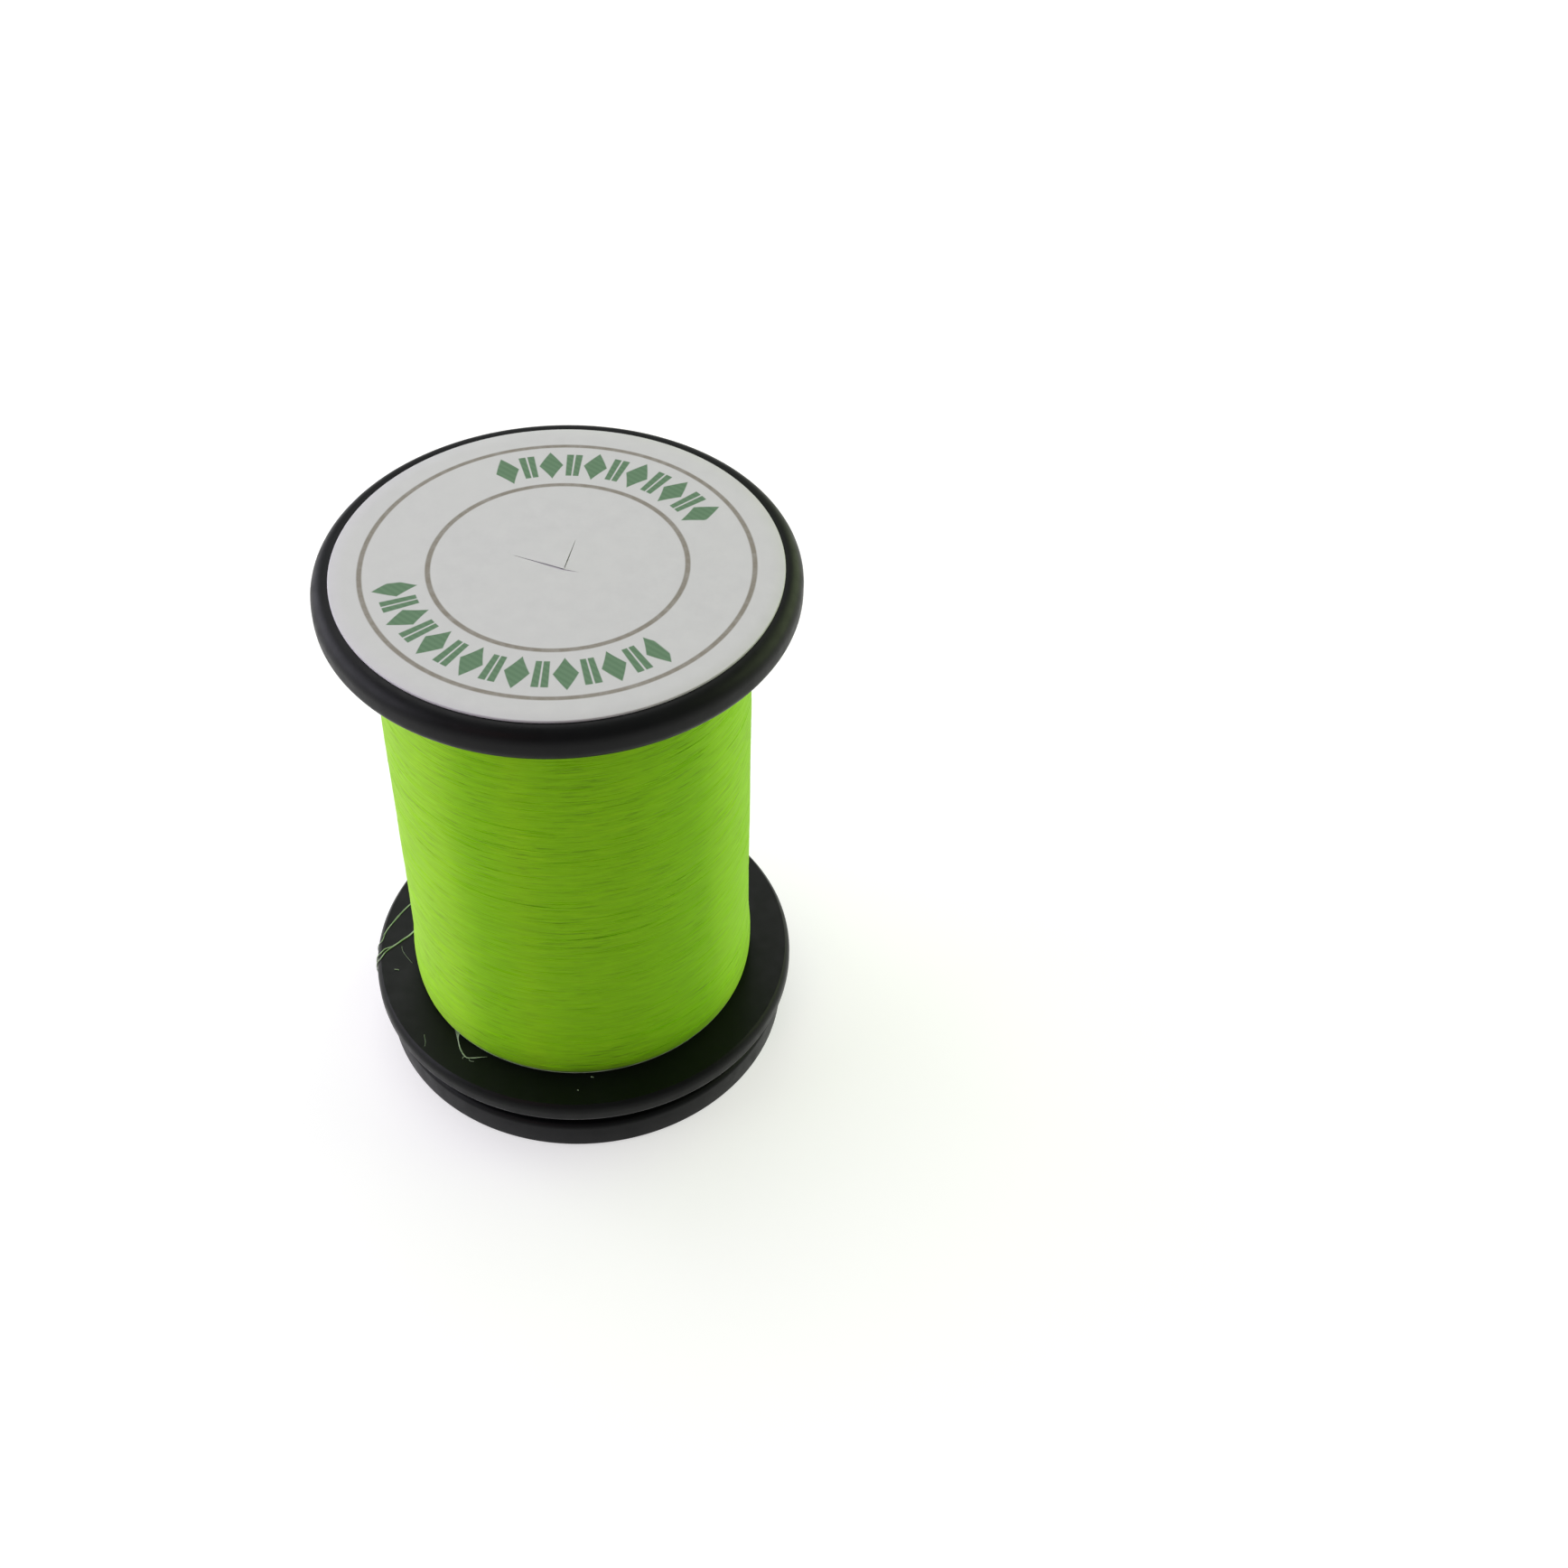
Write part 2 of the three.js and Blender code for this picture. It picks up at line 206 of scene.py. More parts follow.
class Shader:
    """A material with one principled shader, and short ways to add the nodes that feed it."""

    def __init__(self, name):
        self.material = bpy.data.materials.new(name)
        self.material.use_nodes = True
        self.tree = self.material.node_tree
        self.tree.nodes.clear()
        out = self.tree.nodes.new("ShaderNodeOutputMaterial")
        self.bsdf = self.tree.nodes.new("ShaderNodeBsdfPrincipled")
        self.link(self.bsdf.outputs[0], out.inputs["Surface"])
        self.coordinates = self.tree.nodes.new("ShaderNodeTexCoord").outputs["Object"]

    def link(self, a, b):
        self.tree.links.new(a, b)

    def feed(self, socket, value):
        if isinstance(value, bpy.types.NodeSocket):
            self.link(value, socket)
        elif value is not None:
            socket.default_value = value

    def set(self, **values):
        """Sets or links sockets of the shader. Spaces in their names are written as underscores."""
        for name, value in values.items():
            self.feed(self.bsdf.inputs[name.replace("_", " ")], value)

    def math(self, operation, a, b=None):
        node = self.tree.nodes.new("ShaderNodeMath")
        node.operation = operation
        for socket, value in zip(node.inputs, (a, b)):
            self.feed(socket, value)
        return node.outputs[0]

    def away(self, value, centre):
        """How far a value is from a centre."""
        return self.math("ABSOLUTE", self.math("SUBTRACT", value, centre))

    def within(self, value, limit, soft):
        """1 where a value is below a limit and 0 above it, with a soft step between."""
        return self.remap(value, limit + soft, limit - soft)

    def remap(self, value, low, high, to_low=0.0, to_high=1.0):
        node = self.tree.nodes.new("ShaderNodeMapRange")
        for socket, v in zip(node.inputs, (value, low, high, to_low, to_high)):
            self.feed(socket, v)
        return node.outputs[0]

    def scaled(self, scale, offset=(0, 0, 0)):
        node = self.tree.nodes.new("ShaderNodeMapping")
        self.link(self.coordinates, node.inputs["Vector"])
        node.inputs["Scale"].default_value = scale
        node.inputs["Location"].default_value = offset
        return node.outputs[0]

    def noise(self, scale, detail=2.0, roughness=0.5, stretch=(1, 1, 1), offset=(0, 0, 0)):
        """Noise of so many cells per millimetre, drawn out along axes whose stretch is low."""
        node = self.tree.nodes.new("ShaderNodeTexNoise")
        vector = self.scaled([s * scale / MM for s in stretch], offset)
        self.link(vector, node.inputs["Vector"])
        node.inputs["Scale"].default_value = 1.0
        node.inputs["Detail"].default_value = detail
        node.inputs["Roughness"].default_value = roughness
        return node.outputs["Fac"]

    def spots(self, scale, size, share, offset=(0, 0, 0)):
        """Sparse round spots: a share of the cells has a spot of the given size in cells."""
        node = self.tree.nodes.new("ShaderNodeTexVoronoi")
        self.link(self.scaled([scale / MM] * 3, offset), node.inputs["Vector"])
        node.inputs["Scale"].default_value = 1.0
        near = self.remap(node.outputs["Distance"], size, size * 0.5)
        split = self.tree.nodes.new("ShaderNodeSeparateColor")
        self.link(node.outputs["Color"], split.inputs[0])
        chosen = self.math("GREATER_THAN", split.outputs[0], 1 - share)
        return self.math("MULTIPLY", near, chosen)

    def mix(self, factor, a, b):
        node = self.tree.nodes.new("ShaderNodeMix")
        node.data_type = "RGBA"
        self.feed(node.inputs[0], factor)
        for socket, colour in ((node.inputs[6], a), (node.inputs[7], b)):
            self.feed(socket, colour if isinstance(colour, bpy.types.NodeSocket) else (*colour, 1))
        return node.outputs[2]

    def bump(self, height, distance_mm, strength):
        node = self.tree.nodes.new("ShaderNodeBump")
        node.inputs["Strength"].default_value = strength
        node.inputs["Distance"].default_value = distance_mm * MM
        self.feed(node.inputs["Height"], height)
        return node.outputs[0]


def piece(obj, body, slot, shader, *nodes):
    """Gives a finished piece its material and its body, and hides the CAD nodes it stands for. The
    slot is not used.
    """
    obj.data.materials.clear()
    obj.data.materials.append(shader.material)
    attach(obj, body)
    if nodes:
        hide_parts(*nodes)
    return obj


# ------------------------------------------------------------------ materials

DUST = (0.30, 0.29, 0.27)

PAPER_DARK = (0.590, 0.580, 0.612)
PAPER_LIGHT = (0.632, 0.622, 0.652)
PAPER_MOTTLE = (0.624, 0.614, 0.640)
RING_INK = (0.215, 0.186, 0.155)
PRINTED_RINGS = [(8.853, 0.23), (5.826, 0.24)]  # radius and width
BORDER_PALE = (0.16, 0.30, 0.17)
BORDER_GREEN = (0.075, 0.175, 0.085)
BORDER_CELLS = 22
BORDER_RADIUS = 7.35
BORDER_ARCS = [(66, 0.795), (-115, 1.045)]  # middle in degrees, reach to each side in radians
LOZENGE_ACROSS = 0.56  # half sizes of the lozenge in each cell
LOZENGE_ALONG = 1.02
BAR_AT = 0.86  # the bars between two lozenges
BAR_ACROSS = 0.15
BAR_ALONG = 0.82

FLOSS_DARK = (0.232, 0.650, 0.0003)
FLOSS_LIGHT = (0.315, 0.810, 0.0007)
FLOSS_BAND = (0.268, 0.730, 0.0004)
# Painted glints: bright dashes along the filaments, painted into the floss colour.
PAINTED_GLINT = (0.55, 0.95, 0.02)
# Painted shade: dark dashes in the gaps between the filaments, painted into the floss colour.
PAINTED_FILAMENT_SHADE = (0.120, 0.400, 0.0)
FLECK = (0.05, 0.13, 0.01)
FILAMENT_DARK = (0.30, 0.42, 0.23)
FILAMENT_LIGHT = (0.50, 0.62, 0.42)


def black_plastic(name, colour, roughness, offset):
    """Black moulded plastic: a fine matte texture, faint flow clouds, and a few specks of dust."""
    s = Shader(name)
    clouds = s.noise(0.22, 3, 0.55, offset=offset)
    grain = s.noise(9.0, 3, 0.6, offset=offset)
    patches = s.noise(1.2, 4, 0.6, offset=offset)
    dust = s.spots(0.55, 0.035, 0.10, offset=offset)
    dark = tuple(c * 0.75 for c in colour)
    light = tuple(c * 1.3 for c in colour)
    base = s.mix(s.remap(clouds, 0.35, 0.65), dark, light)
    base = s.mix(s.math("MULTIPLY", dust, 0.75), base, DUST)
    rough = s.remap(patches, 0.3, 0.7, roughness - 0.06, roughness + 0.06)
    rough = s.math("ADD", rough, s.math("MULTIPLY", dust, 0.3))
    s.set(Base_Color=base, Roughness=rough, Specular_IOR_Level=0.15, IOR=1.5)
    s.set(Normal=s.bump(grain, 0.006, 0.55))
    return s


def label_border(s, radius, angle):
    """Two arcs of a generic border, whose cells hold a lozenge between two short bars."""
    turn = s.math("MULTIPLY", angle, BORDER_CELLS / TAU)
    across = s.math("SUBTRACT", s.math("SUBTRACT", turn, s.math("FLOOR", turn)), 0.5)
    across = s.math("MULTIPLY", across, TAU * BORDER_RADIUS / BORDER_CELLS)
    across = s.math("ABSOLUTE", across)
    along = s.away(radius, BORDER_RADIUS)
    slant = s.math(
        "ADD", s.math("DIVIDE", across, LOZENGE_ACROSS), s.math("DIVIDE", along, LOZENGE_ALONG)
    )
    lozenge = s.within(slant, 1.0, 0.04)
    bar = s.within(s.away(across, BAR_AT), BAR_ACROSS, 0.02)
    bar = s.math("MULTIPLY", bar, s.within(along, BAR_ALONG, 0.02))
    arcs = [s.within(s.away(angle, math.radians(a)), reach, 0.005) for a, reach in BORDER_ARCS]
    return s.math("MULTIPLY", s.math("MAXIMUM", lozenge, bar), s.math("MAXIMUM", *arcs))


def paper_label():
    """Coated label paper with two thin printed rings and a green border."""
    s = Shader("label_paper")
    split = s.tree.nodes.new("ShaderNodeSeparateXYZ")
    s.link(s.coordinates, split.inputs[0])
    x = s.math("MULTIPLY", split.outputs[0], 1 / MM)
    y = s.math("MULTIPLY", s.math("SUBTRACT", split.outputs[1], LABEL_SHIFT * MM), 1 / MM)
    radius = s.math("SQRT", s.math("ADD", s.math("MULTIPLY", x, x), s.math("MULTIPLY", y, y)))
    angle = s.math("ARCTAN2", y, x)

    fibres = s.noise(1.1, 5, 0.65)
    mottle = s.noise(0.14, 2, 0.5)
    base = s.mix(s.remap(fibres, 0.3, 0.7), PAPER_DARK, PAPER_LIGHT)
    base = s.mix(s.remap(mottle, 0.35, 0.65, 0, 0.5), base, PAPER_MOTTLE)

    rings = [s.within(s.away(radius, at), width / 2, 0.03) for at, width in PRINTED_RINGS]
    ink = s.remap(s.noise(2.6, 3, 0.6), 0.2, 0.6, 0.72, 0.92)
    base = s.mix(s.math("MULTIPLY", s.math("MAXIMUM", *rings), ink), base, RING_INK)

    screen = s.tree.nodes.new("ShaderNodeTexWave")
    screen.bands_direction = "DIAGONAL"
    s.link(s.scaled([1 / MM] * 3), screen.inputs["Vector"])
    screen.inputs["Scale"].default_value = 1.6
    tone = s.remap(screen.outputs["Fac"], 0.0, 1.0, 0.72, 0.98)
    green = s.mix(tone, BORDER_PALE, BORDER_GREEN)
    base = s.mix(s.math("MULTIPLY", label_border(s, radius, angle), 0.95), base, green)

    s.set(Base_Color=base, Roughness=s.remap(fibres, 0.3, 0.7, 0.50, 0.62))
    s.set(Specular_IOR_Level=0.4, IOR=1.45)
    height = s.math("ADD", s.noise(3.0, 4, 0.6), s.math("MULTIPLY", mottle, 2.0))
    s.set(Normal=s.bump(height, 0.006, 0.5))
    return s


def floss(name, fine=True):
    """Fluorescent floss: silky filaments that shine across the turns, with painted glints and
    painted shade as streaks along them.
    """
    s = Shader(name)
    lay = s.noise(3.4, 4, 0.6, stretch=(0.2, 0.2, 1.5))
    bands = s.noise(0.5, 3, 0.6, stretch=(0.3, 0.3, 1.0))
    streaks = s.noise(9.0, 3, 0.65, stretch=(0.07, 0.07, 1.1))
    patches = s.remap(s.noise(0.30, 2, 0.5, stretch=(0.7, 0.7, 1.0)), 0.42, 0.60, 0.35, 1.0)
    # light masks the painted glints along the filaments, and dark masks the painted shade between
    # them.
    light = s.math("MULTIPLY", s.remap(streaks, 0.56, 0.76, 0.0, 0.40), patches)
    dark = s.math("MULTIPLY", s.remap(streaks, 0.46, 0.29, 0.0, 0.95), patches)
    fleck = s.math("MULTIPLY", s.spots(0.9, 0.045, 0.05), 0.6)
    base = s.mix(s.remap(lay, 0.30, 0.70), FLOSS_DARK, FLOSS_LIGHT)
    base = s.mix(s.remap(bands, 0.3, 0.7, 0.0, 0.5), base, FLOSS_BAND)
    # Painted glints, then painted shade, are laid over the floss colour.
    base = s.mix(light, base, PAINTED_GLINT)
    base = s.mix(dark, base, PAINTED_FILAMENT_SHADE)
    base = s.mix(fleck, base, FLECK)
    s.set(Base_Color=base, Roughness=0.5, IOR=1.6, Metallic=0.08)
    s.set(Specular_IOR_Level=0.95, Specular_Tint=(1.0, 0.86, 0.16, 1))
    s.set(Anisotropic=1.0, Anisotropic_Rotation=0.25)
    s.set(Sheen_Weight=0.10, Sheen_Roughness=0.4, Sheen_Tint=(1.0, 1.0, 0.9, 1))
    tangent = s.tree.nodes.new("ShaderNodeTangent")
    tangent.direction_type = "RADIAL"
    tangent.axis = "Z"
    s.set(Tangent=tangent.outputs[0])
    if fine:
        ridges = s.math("MULTIPLY", s.math("MULTIPLY", streaks, patches), 1.2)
        s.set(Normal=s.bump(s.math("ADD", ridges, lay), 0.02, 0.6))
    return s


def pale_filament():
    """Single filaments away from the winding, which look paler and greyer than the floss."""
    s = Shader("pale_filament")
    tone = s.remap(s.noise(2.0, 2, 0.5), 0.35, 0.65)
    s.set(Base_Color=s.mix(tone, FILAMENT_DARK, FILAMENT_LIGHT))
    s.set(Roughness=0.45, IOR=1.5, Specular_IOR_Level=0.5)
    return s


BODY_PLASTIC = black_plastic("body_plastic", (0.0042, 0.0046, 0.0052), 0.42, (0, 0, 0))
FLANGE_PLASTIC = black_plastic("flange_plastic", (0.0036, 0.0044, 0.0042), 0.40, (3.1, 1.7, 0))
BASE_PLASTIC = black_plastic("base_plastic", (0.0038, 0.0044, 0.0050), 0.43, (7.3, 2.9, 0))
LABEL = paper_label()
WINDING_FLOSS = floss("thread_floss")
STRAND_FLOSS = floss("strand_floss", fine=False)
PALE_FILAMENT = pale_filament()

# ------------------------------------------------------------------ moulded pieces


def spool_body():
    rim_under = WEB_TOP - RIM_THICKNESS
    rim_inner = FLANGE - RIM_UNDER_EDGE - RIM_FLAT
    rim_drop = WEB_UNDER - rim_under
    collar = BORE + COLLAR_WALL
    return turned("spool_body_moulding", [
        (BARREL_BORE, FLANGE_TOP), (BARREL, FLANGE_TOP), (BARREL, WEB_UNDER),
        (rim_inner - rim_drop, WEB_UNDER), (rim_inner, rim_under),
        *arc(FLANGE - RIM_UNDER_EDGE, rim_under + RIM_UNDER_EDGE, RIM_UNDER_EDGE, -90, 0),
        *arc(FLANGE - RIM_EDGE, WEB_TOP - RIM_EDGE, RIM_EDGE, 0, 90),
        (BORE, WEB_TOP), (BORE, COLLAR_BOTTOM), (collar, COLLAR_BOTTOM),
        (collar, WEB_UNDER), (BARREL_BORE, WEB_UNDER),
    ])


def crown_height():
    """Height of the centre of the base flange's outer edge."""
    return FLANGE_TOP + FACE_RISE - CROWN * math.sin(math.radians(CROWN_TILT))


def crown_radius():
    """Radius at which that edge meets the face."""
    return FLANGE - CROWN * (1 - math.cos(math.radians(CROWN_TILT)))


def face_rise(radius):
    """How much higher the face of the base flange is at a radius than at the winding."""
    share = (radius - FACE_RISE_FROM) / (crown_radius() - FACE_RISE_FROM)
    return FACE_RISE * min(1, max(0, share))


def base_flange():
    obj = turned("base_flange_moulding", [
        (LIP + ENTRY_CHAMFER, FLANGE_UNDER),
        *arc(FLANGE - FLANGE_EDGE, FLANGE_UNDER + FLANGE_EDGE, FLANGE_EDGE, -90, 0),
        *arc(FLANGE - CROWN, crown_height(), CROWN, 0, CROWN_TILT),
        (crown_radius() - CORNER_WIDTH, FLANGE_TOP + FACE_RISE), (FACE_RISE_FROM, FLANGE_TOP),
        (SLEEVE, FLANGE_TOP), (SLEEVE, SLEEVE_TOP - SLEEVE_CHAMFER),
        (SLEEVE - SLEEVE_CHAMFER, SLEEVE_TOP), (RECESS, SLEEVE_TOP), (RECESS, LIP_TOP),
        (LIP, LIP_TOP), (LIP, FLANGE_UNDER + ENTRY_CHAMFER),
    ])
    bottom, top = FLANGE_UNDER + ENTRY_CHAMFER, SLEEVE_TOP - SLEEVE_CHAMFER
    keys = [
        block("key", LIP - KEY_DEPTH, RECESS + KEY_FOOT, KEY_WIDTH, bottom, top, angle)
        for angle in (math.pi / 4, 5 * math.pi / 4)
    ]
    return combine(obj, keys, "UNION")


def snap_base():
    edge = BASE - BASE_EDGE
    pan = BASE_TOP - PAN_DEPTH
    roof = NECK_TOP - CORE_ROOF
    obj = turned("snap_base_moulding", [
        (BORE, FOOT_DEPTH), (STEM, FOOT_DEPTH), (STEM, roof), (CORE_GROOVE, roof),
        (CORE_GROOVE, FOOT_DEPTH), (edge - FOOT_WIDTH - FOOT_SLOPE, FOOT_DEPTH),
        (edge - FOOT_WIDTH, 0),
        *arc(edge, BASE_EDGE, BASE_EDGE, -90, 0),
        *arc(edge, BASE_TOP - BASE_EDGE, BASE_EDGE, 0, 90),
        (edge - RIM_LIP, BASE_TOP), (edge - RIM_LIP - RIM_LIP_SLOPE, pan),
        (NECK, pan), (NECK, NECK_TOP), (STEM, NECK_TOP), (STEM, BARB_UNDER), (BARB, BARB_UNDER),
        (BARB, BARB_TOP), (BARB - BARB_TAPER, FINGER_TOP), (STEM_BORE, FINGER_TOP),
        (STEM_BORE, BASE_TOP), (BORE, BASE_TOP),
    ])
    inner, top = BORE + 0.4, FINGER_TOP + 0.8  # the cutters start in the bore and end in the open
    slots = [
        block("slot", inner, RECESS, SLOT_WIDTH, NECK_TOP, top, math.pi / 4 + i * TAU / SLOTS)
        for i in range(SLOTS)
    ]
    return combine(obj, slots, "DIFFERENCE")


piece(spool_body(), "spool", "body_plastic", BODY_PLASTIC, "spool_body")
piece(base_flange(), "spool", "flange_plastic", FLANGE_PLASTIC, "base_flange")
piece(snap_base(), "snap_base", "base_plastic", BASE_PLASTIC, "snap_base")

# ------------------------------------------------------------------ label

SLIT_CENTRE = (0.24, -0.56)
# Direction of each slit in degrees, its length, and the rise of the flap that starts there.
FLAPS = [(71.3, 2.15, 0.045), (152.8, 2.6, -0.015), (251.0, 0.2, -0.02), (336.5, 0.75, 0.015)]
FLAP_COLUMNS = 48
FLAP_REACH = 2.8  # the flaps lie flat from here outwards
SLIT_GAP = 0.012  # half width of a slit at its middle, as a share of its length
# How much lower the printed side lies at the last two rings.
EDGE_DROPS = {LABEL_RADIUS - 0.015: 0.012, LABEL_RADIUS: 0.03}
LABEL_RINGS = [
    0, 0.15, 0.3, 0.45, 0.6, 0.75, 0.95, 1.2, 1.5, 1.8, 2.15, 2.6, 3.2, 4.2, 5.5, 7.0, 8.5, 9.6,
    LABEL_RADIUS - 0.05, *EDGE_DROPS,
]


def label_point(side, flap, ring, column):
    """A point of the label's printed side (1) or underside (0), and a key that tells whether
    it is shared with the next flap."""
    start, length, lift = FLAPS[flap]
    end, next_length, _ = FLAPS[(flap + 1) % len(FLAPS)]
    if end < start:
        end += 360
    size = LABEL_RINGS[ring]
    out = size / LABEL_RADIUS
    degrees = start + (end - start) * column / FLAP_COLUMNS
    slit_length = length if column == 0 else next_length
    is_open = column in (0, FLAP_COLUMNS) and size < slit_length
    gap = 0.0
    if is_open:
        to_flap = 1 if column == 0 else -1
        gap = SLIT_GAP * slit_length * to_flap * math.sqrt(1 - size / slit_length)
    a = math.radians(degrees)
    x = SLIT_CENTRE[0] * (1 - out) + size * math.cos(a) - gap * math.sin(a)
    y = SLIT_CENTRE[1] * (1 - out) + LABEL_SHIFT * out + size * math.sin(a) + gap * math.cos(a)

    share = column / FLAP_COLUMNS
    fade = (1 - share) * max(0.0, 1 - size / length) ** 0.7
    fade += share * max(0.0, 1 - size / next_length) ** 0.7
    z = LABEL_TOP if side else LABEL_UNDER
    z += lift * fade * max(0.0, 1 - size / FLAP_REACH)
    if side:
        z -= EDGE_DROPS.get(size, 0)

    if is_open:
        key = (side, flap, ring, column)
    elif size == 0:
        key = (side, flap, 0, "centre")
    else:
        key = (side, "all", ring, round(degrees * 1000) % 360000)
    return (x, y, z), key


def top_label():
    """A paper disc, cut open along the slits, with its flaps a little raised or sunk."""
    points, keys, faces, grids = [], {}, [], {}
    rim = len(LABEL_RINGS) - 1

    def vertex(*place):
        point, key = label_point(*place)
        if key not in keys:
            keys[key] = len(points)
            points.append(point)
        return keys[key]

    def wall(flap, first, second):
        (i0, j0), (i1, j1) = first, second
        upper, lower = grids[1, flap], grids[0, flap]
        faces.append((upper[i0][j0], upper[i1][j1], lower[i1][j1], lower[i0][j0]))

    for side in (1, 0):
        for flap in range(len(FLAPS)):
            grid = [
                [vertex(side, flap, ring, column) for column in range(FLAP_COLUMNS + 1)]
                for ring in range(rim + 1)
            ]
            grids[side, flap] = grid
            for i in range(rim):
                for j in range(FLAP_COLUMNS):
                    quad = [grid[i][j], grid[i + 1][j], grid[i + 1][j + 1], grid[i][j + 1]]
                    quad = [v for n, v in enumerate(quad) if v not in quad[:n]]
                    if len(quad) > 2:
                        faces.append(tuple(quad if side else quad[::-1]))

    for flap in range(len(FLAPS)):
        for j in range(FLAP_COLUMNS):
            wall(flap, (rim, j), (rim, j + 1))
        wall(flap, (0, 0), (0, 1))
        wall(flap, (0, FLAP_COLUMNS - 1), (0, FLAP_COLUMNS))
        for j, slit in ((0, flap), (FLAP_COLUMNS, (flap + 1) % len(FLAPS))):
            for i in range(rim):
                if LABEL_RINGS[i] < FLAPS[slit][1]:
                    wall(flap, (i, j), (i + 1, j))
    return face_outwards(mesh_object("label_disc", points, faces, smooth_angle=180))


piece(top_label(), "spool", "label_paper", LABEL, "top_label")

# ------------------------------------------------------------------ winding

RNG = np.random.default_rng(52)
WINDING_START = 145  # degrees round from +X where the thread leaves the winding
WIND_BOTTOM = FLANGE_TOP + 0.015
WIND_TOP = WEB_UNDER - 0.015
WIND_BORE = BARREL + 0.03
PITCH = 0.12
WIND_STEPS = 120
ROW_SHARES = np.array([0.0, 0.30, 0.70])  # rows of one turn: the valley and the two shoulders
ROWS_PER_TURN = len(ROW_SHARES)
CROSSINGS = 26


def smooth_noise(u, v, cells_u, cells_v, seed, octaves=3, gain=0.55):
    """Smooth noise on a cylinder: u runs round it and repeats at 1, v runs along it from 0 to 1."""
    total = np.zeros(np.broadcast(u, v).shape)
    weight = 1.0
    norm = 0.0
    for octave in range(octaves):
        nu, nv = cells_u * 2 ** octave, cells_v * 2 ** octave
        grid = np.random.default_rng(seed + octave).uniform(-1, 1, (nu, nv + 2))
        x, y = (u % 1.0) * nu, np.clip(v, 0, 1) * nv
        i, j = np.floor(x).astype(int), np.floor(y).astype(int)
        fx, fy = x - i, y - j
        fx, fy = fx * fx * (3 - 2 * fx), fy * fy * (3 - 2 * fy)
        i0, i1 = i % nu, (i + 1) % nu
        j0, j1 = np.clip(j, 0, nv + 1), np.clip(j + 1, 0, nv + 1)
        low = grid[i0, j0] * (1 - fx) + grid[i1, j0] * fx
        high = grid[i0, j1] * (1 - fx) + grid[i1, j1] * fx
        total += weight * (low * (1 - fy) + high * fy)
        norm += weight
        weight *= gain
    return total / norm


def envelope(height):
    """Radius of the winding at a height: straight, fuller low down, rounded at the flanges."""
    rise = height - WIND_BOTTOM
    fuller = 0.13 * np.exp(-((rise - 1.3) / 1.5) ** 2)
    low = 0.14 * np.exp(-rise / 0.16)
    high = 0.10 * np.exp(-(WIND_TOP - height) / 0.22)
    return WINDING - 0.03 + fuller - low - high


def winding_points(turns, rows):
    """Points of the run of turns, row by row, with the valleys between turns and their relief."""
    row = np.arange(rows)[:, None]
    round_share = np.arange(WIND_STEPS)[None, :] / WIND_STEPS
    within = row % ROWS_PER_TURN
    turn = np.floor(row / ROWS_PER_TURN) + ROW_SHARES[within] + round_share
    along = turn / turns
    height = WIND_BOTTOM + turn * ((WIND_TOP - WIND_BOTTOM) / turns)
    low = smooth_noise(round_share, along, 5, 12, 11, 3) * 0.020
    lay = smooth_noise(round_share, along, 14, 100, 23, 3, 0.7) * 0.011
    deep = np.clip(smooth_noise(round_share, along, 26, 180, 37, 2, 0.6) * 1.6 - 0.1, 0, 1)
    valley = np.where(within == 0, 0.008 + 0.030 * deep ** 1.5, 0.0)
    wander = smooth_noise(round_share, along, 6, 70, 51, 2) * 0.03
    radius = envelope(height) + low + lay - valley
    height = np.clip(height + wander, WIND_BOTTOM, WIND_TOP)
    angle = -TAU * round_share + math.radians(WINDING_START)
    points = np.stack([radius * np.cos(angle), radius * np.sin(angle), height], -1)
    return list(map(tuple, points.reshape(-1, 3)))


def winding_index(row, step):
    return row * WIND_STEPS + step


def turn_faces(rows):
    """Faces between the rows. At the end of a round, a row goes on into one a turn further up."""
    faces = []
    for row in range(rows - 1):
        for step in range(WIND_STEPS):
            if step + 1 < WIND_STEPS:
                onward, after = row, step + 1
            elif row + 1 + ROWS_PER_TURN < rows:
                onward, after = row + ROWS_PER_TURN, 0
            else:
                continue
            faces.append((
                winding_index(row, step), winding_index(row + 1, step),
                winding_index(onward + 1, after), winding_index(onward, after),
            ))
    return faces


def close_winding(points, faces, rows):
    """Joins each end of the run, by a flat ring of faces, to a wall that clears the barrel."""
    last = rows - 1
    bottom = [winding_index(0, s) for s in range(WIND_STEPS)]
    bottom += [winding_index(r, 0) for r in range(ROWS_PER_TURN, 0, -1)]
    top = [winding_index(last, s) for s in range(WIND_STEPS)]
    top += [winding_index(last - r, WIND_STEPS - 1) for r in range(1, ROWS_PER_TURN + 1)]
    walls = []
    for loop, z in ((bottom, WIND_BOTTOM), (top, WIND_TOP)):
        wall = {}
        for n in loop:
            if n % WIND_STEPS not in wall:
                x, y, _ = points[n]
                r = math.hypot(x, y)
                wall[n % WIND_STEPS] = len(points)
                points.append((x / r * WIND_BORE, y / r * WIND_BORE, z))
        for n, m in zip(loop, loop[1:] + loop[:1]):
            face = (n, m, wall[m % WIND_STEPS], wall[n % WIND_STEPS])
            face = face[:3] if face[2] == face[3] else face
            faces.append(face if z == WIND_BOTTOM else face[::-1])
        walls.append(wall)
    for s in range(WIND_STEPS):
        t = (s + 1) % WIND_STEPS
        faces.append((walls[0][s], walls[0][t], walls[1][t], walls[1][s]))


def thread_winding():
    """The winding as one unbroken helical run of turns, closed to the barrel at both ends."""
    turns = int(round((WIND_TOP - WIND_BOTTOM) / PITCH))
    rows = (turns - 1) * ROWS_PER_TURN + 1
    points = winding_points(turns, rows)
    faces = turn_faces(rows)
    close_winding(points, faces, rows)
    return face_outwards(mesh_object("thread_winding", points, faces, smooth_angle=180))


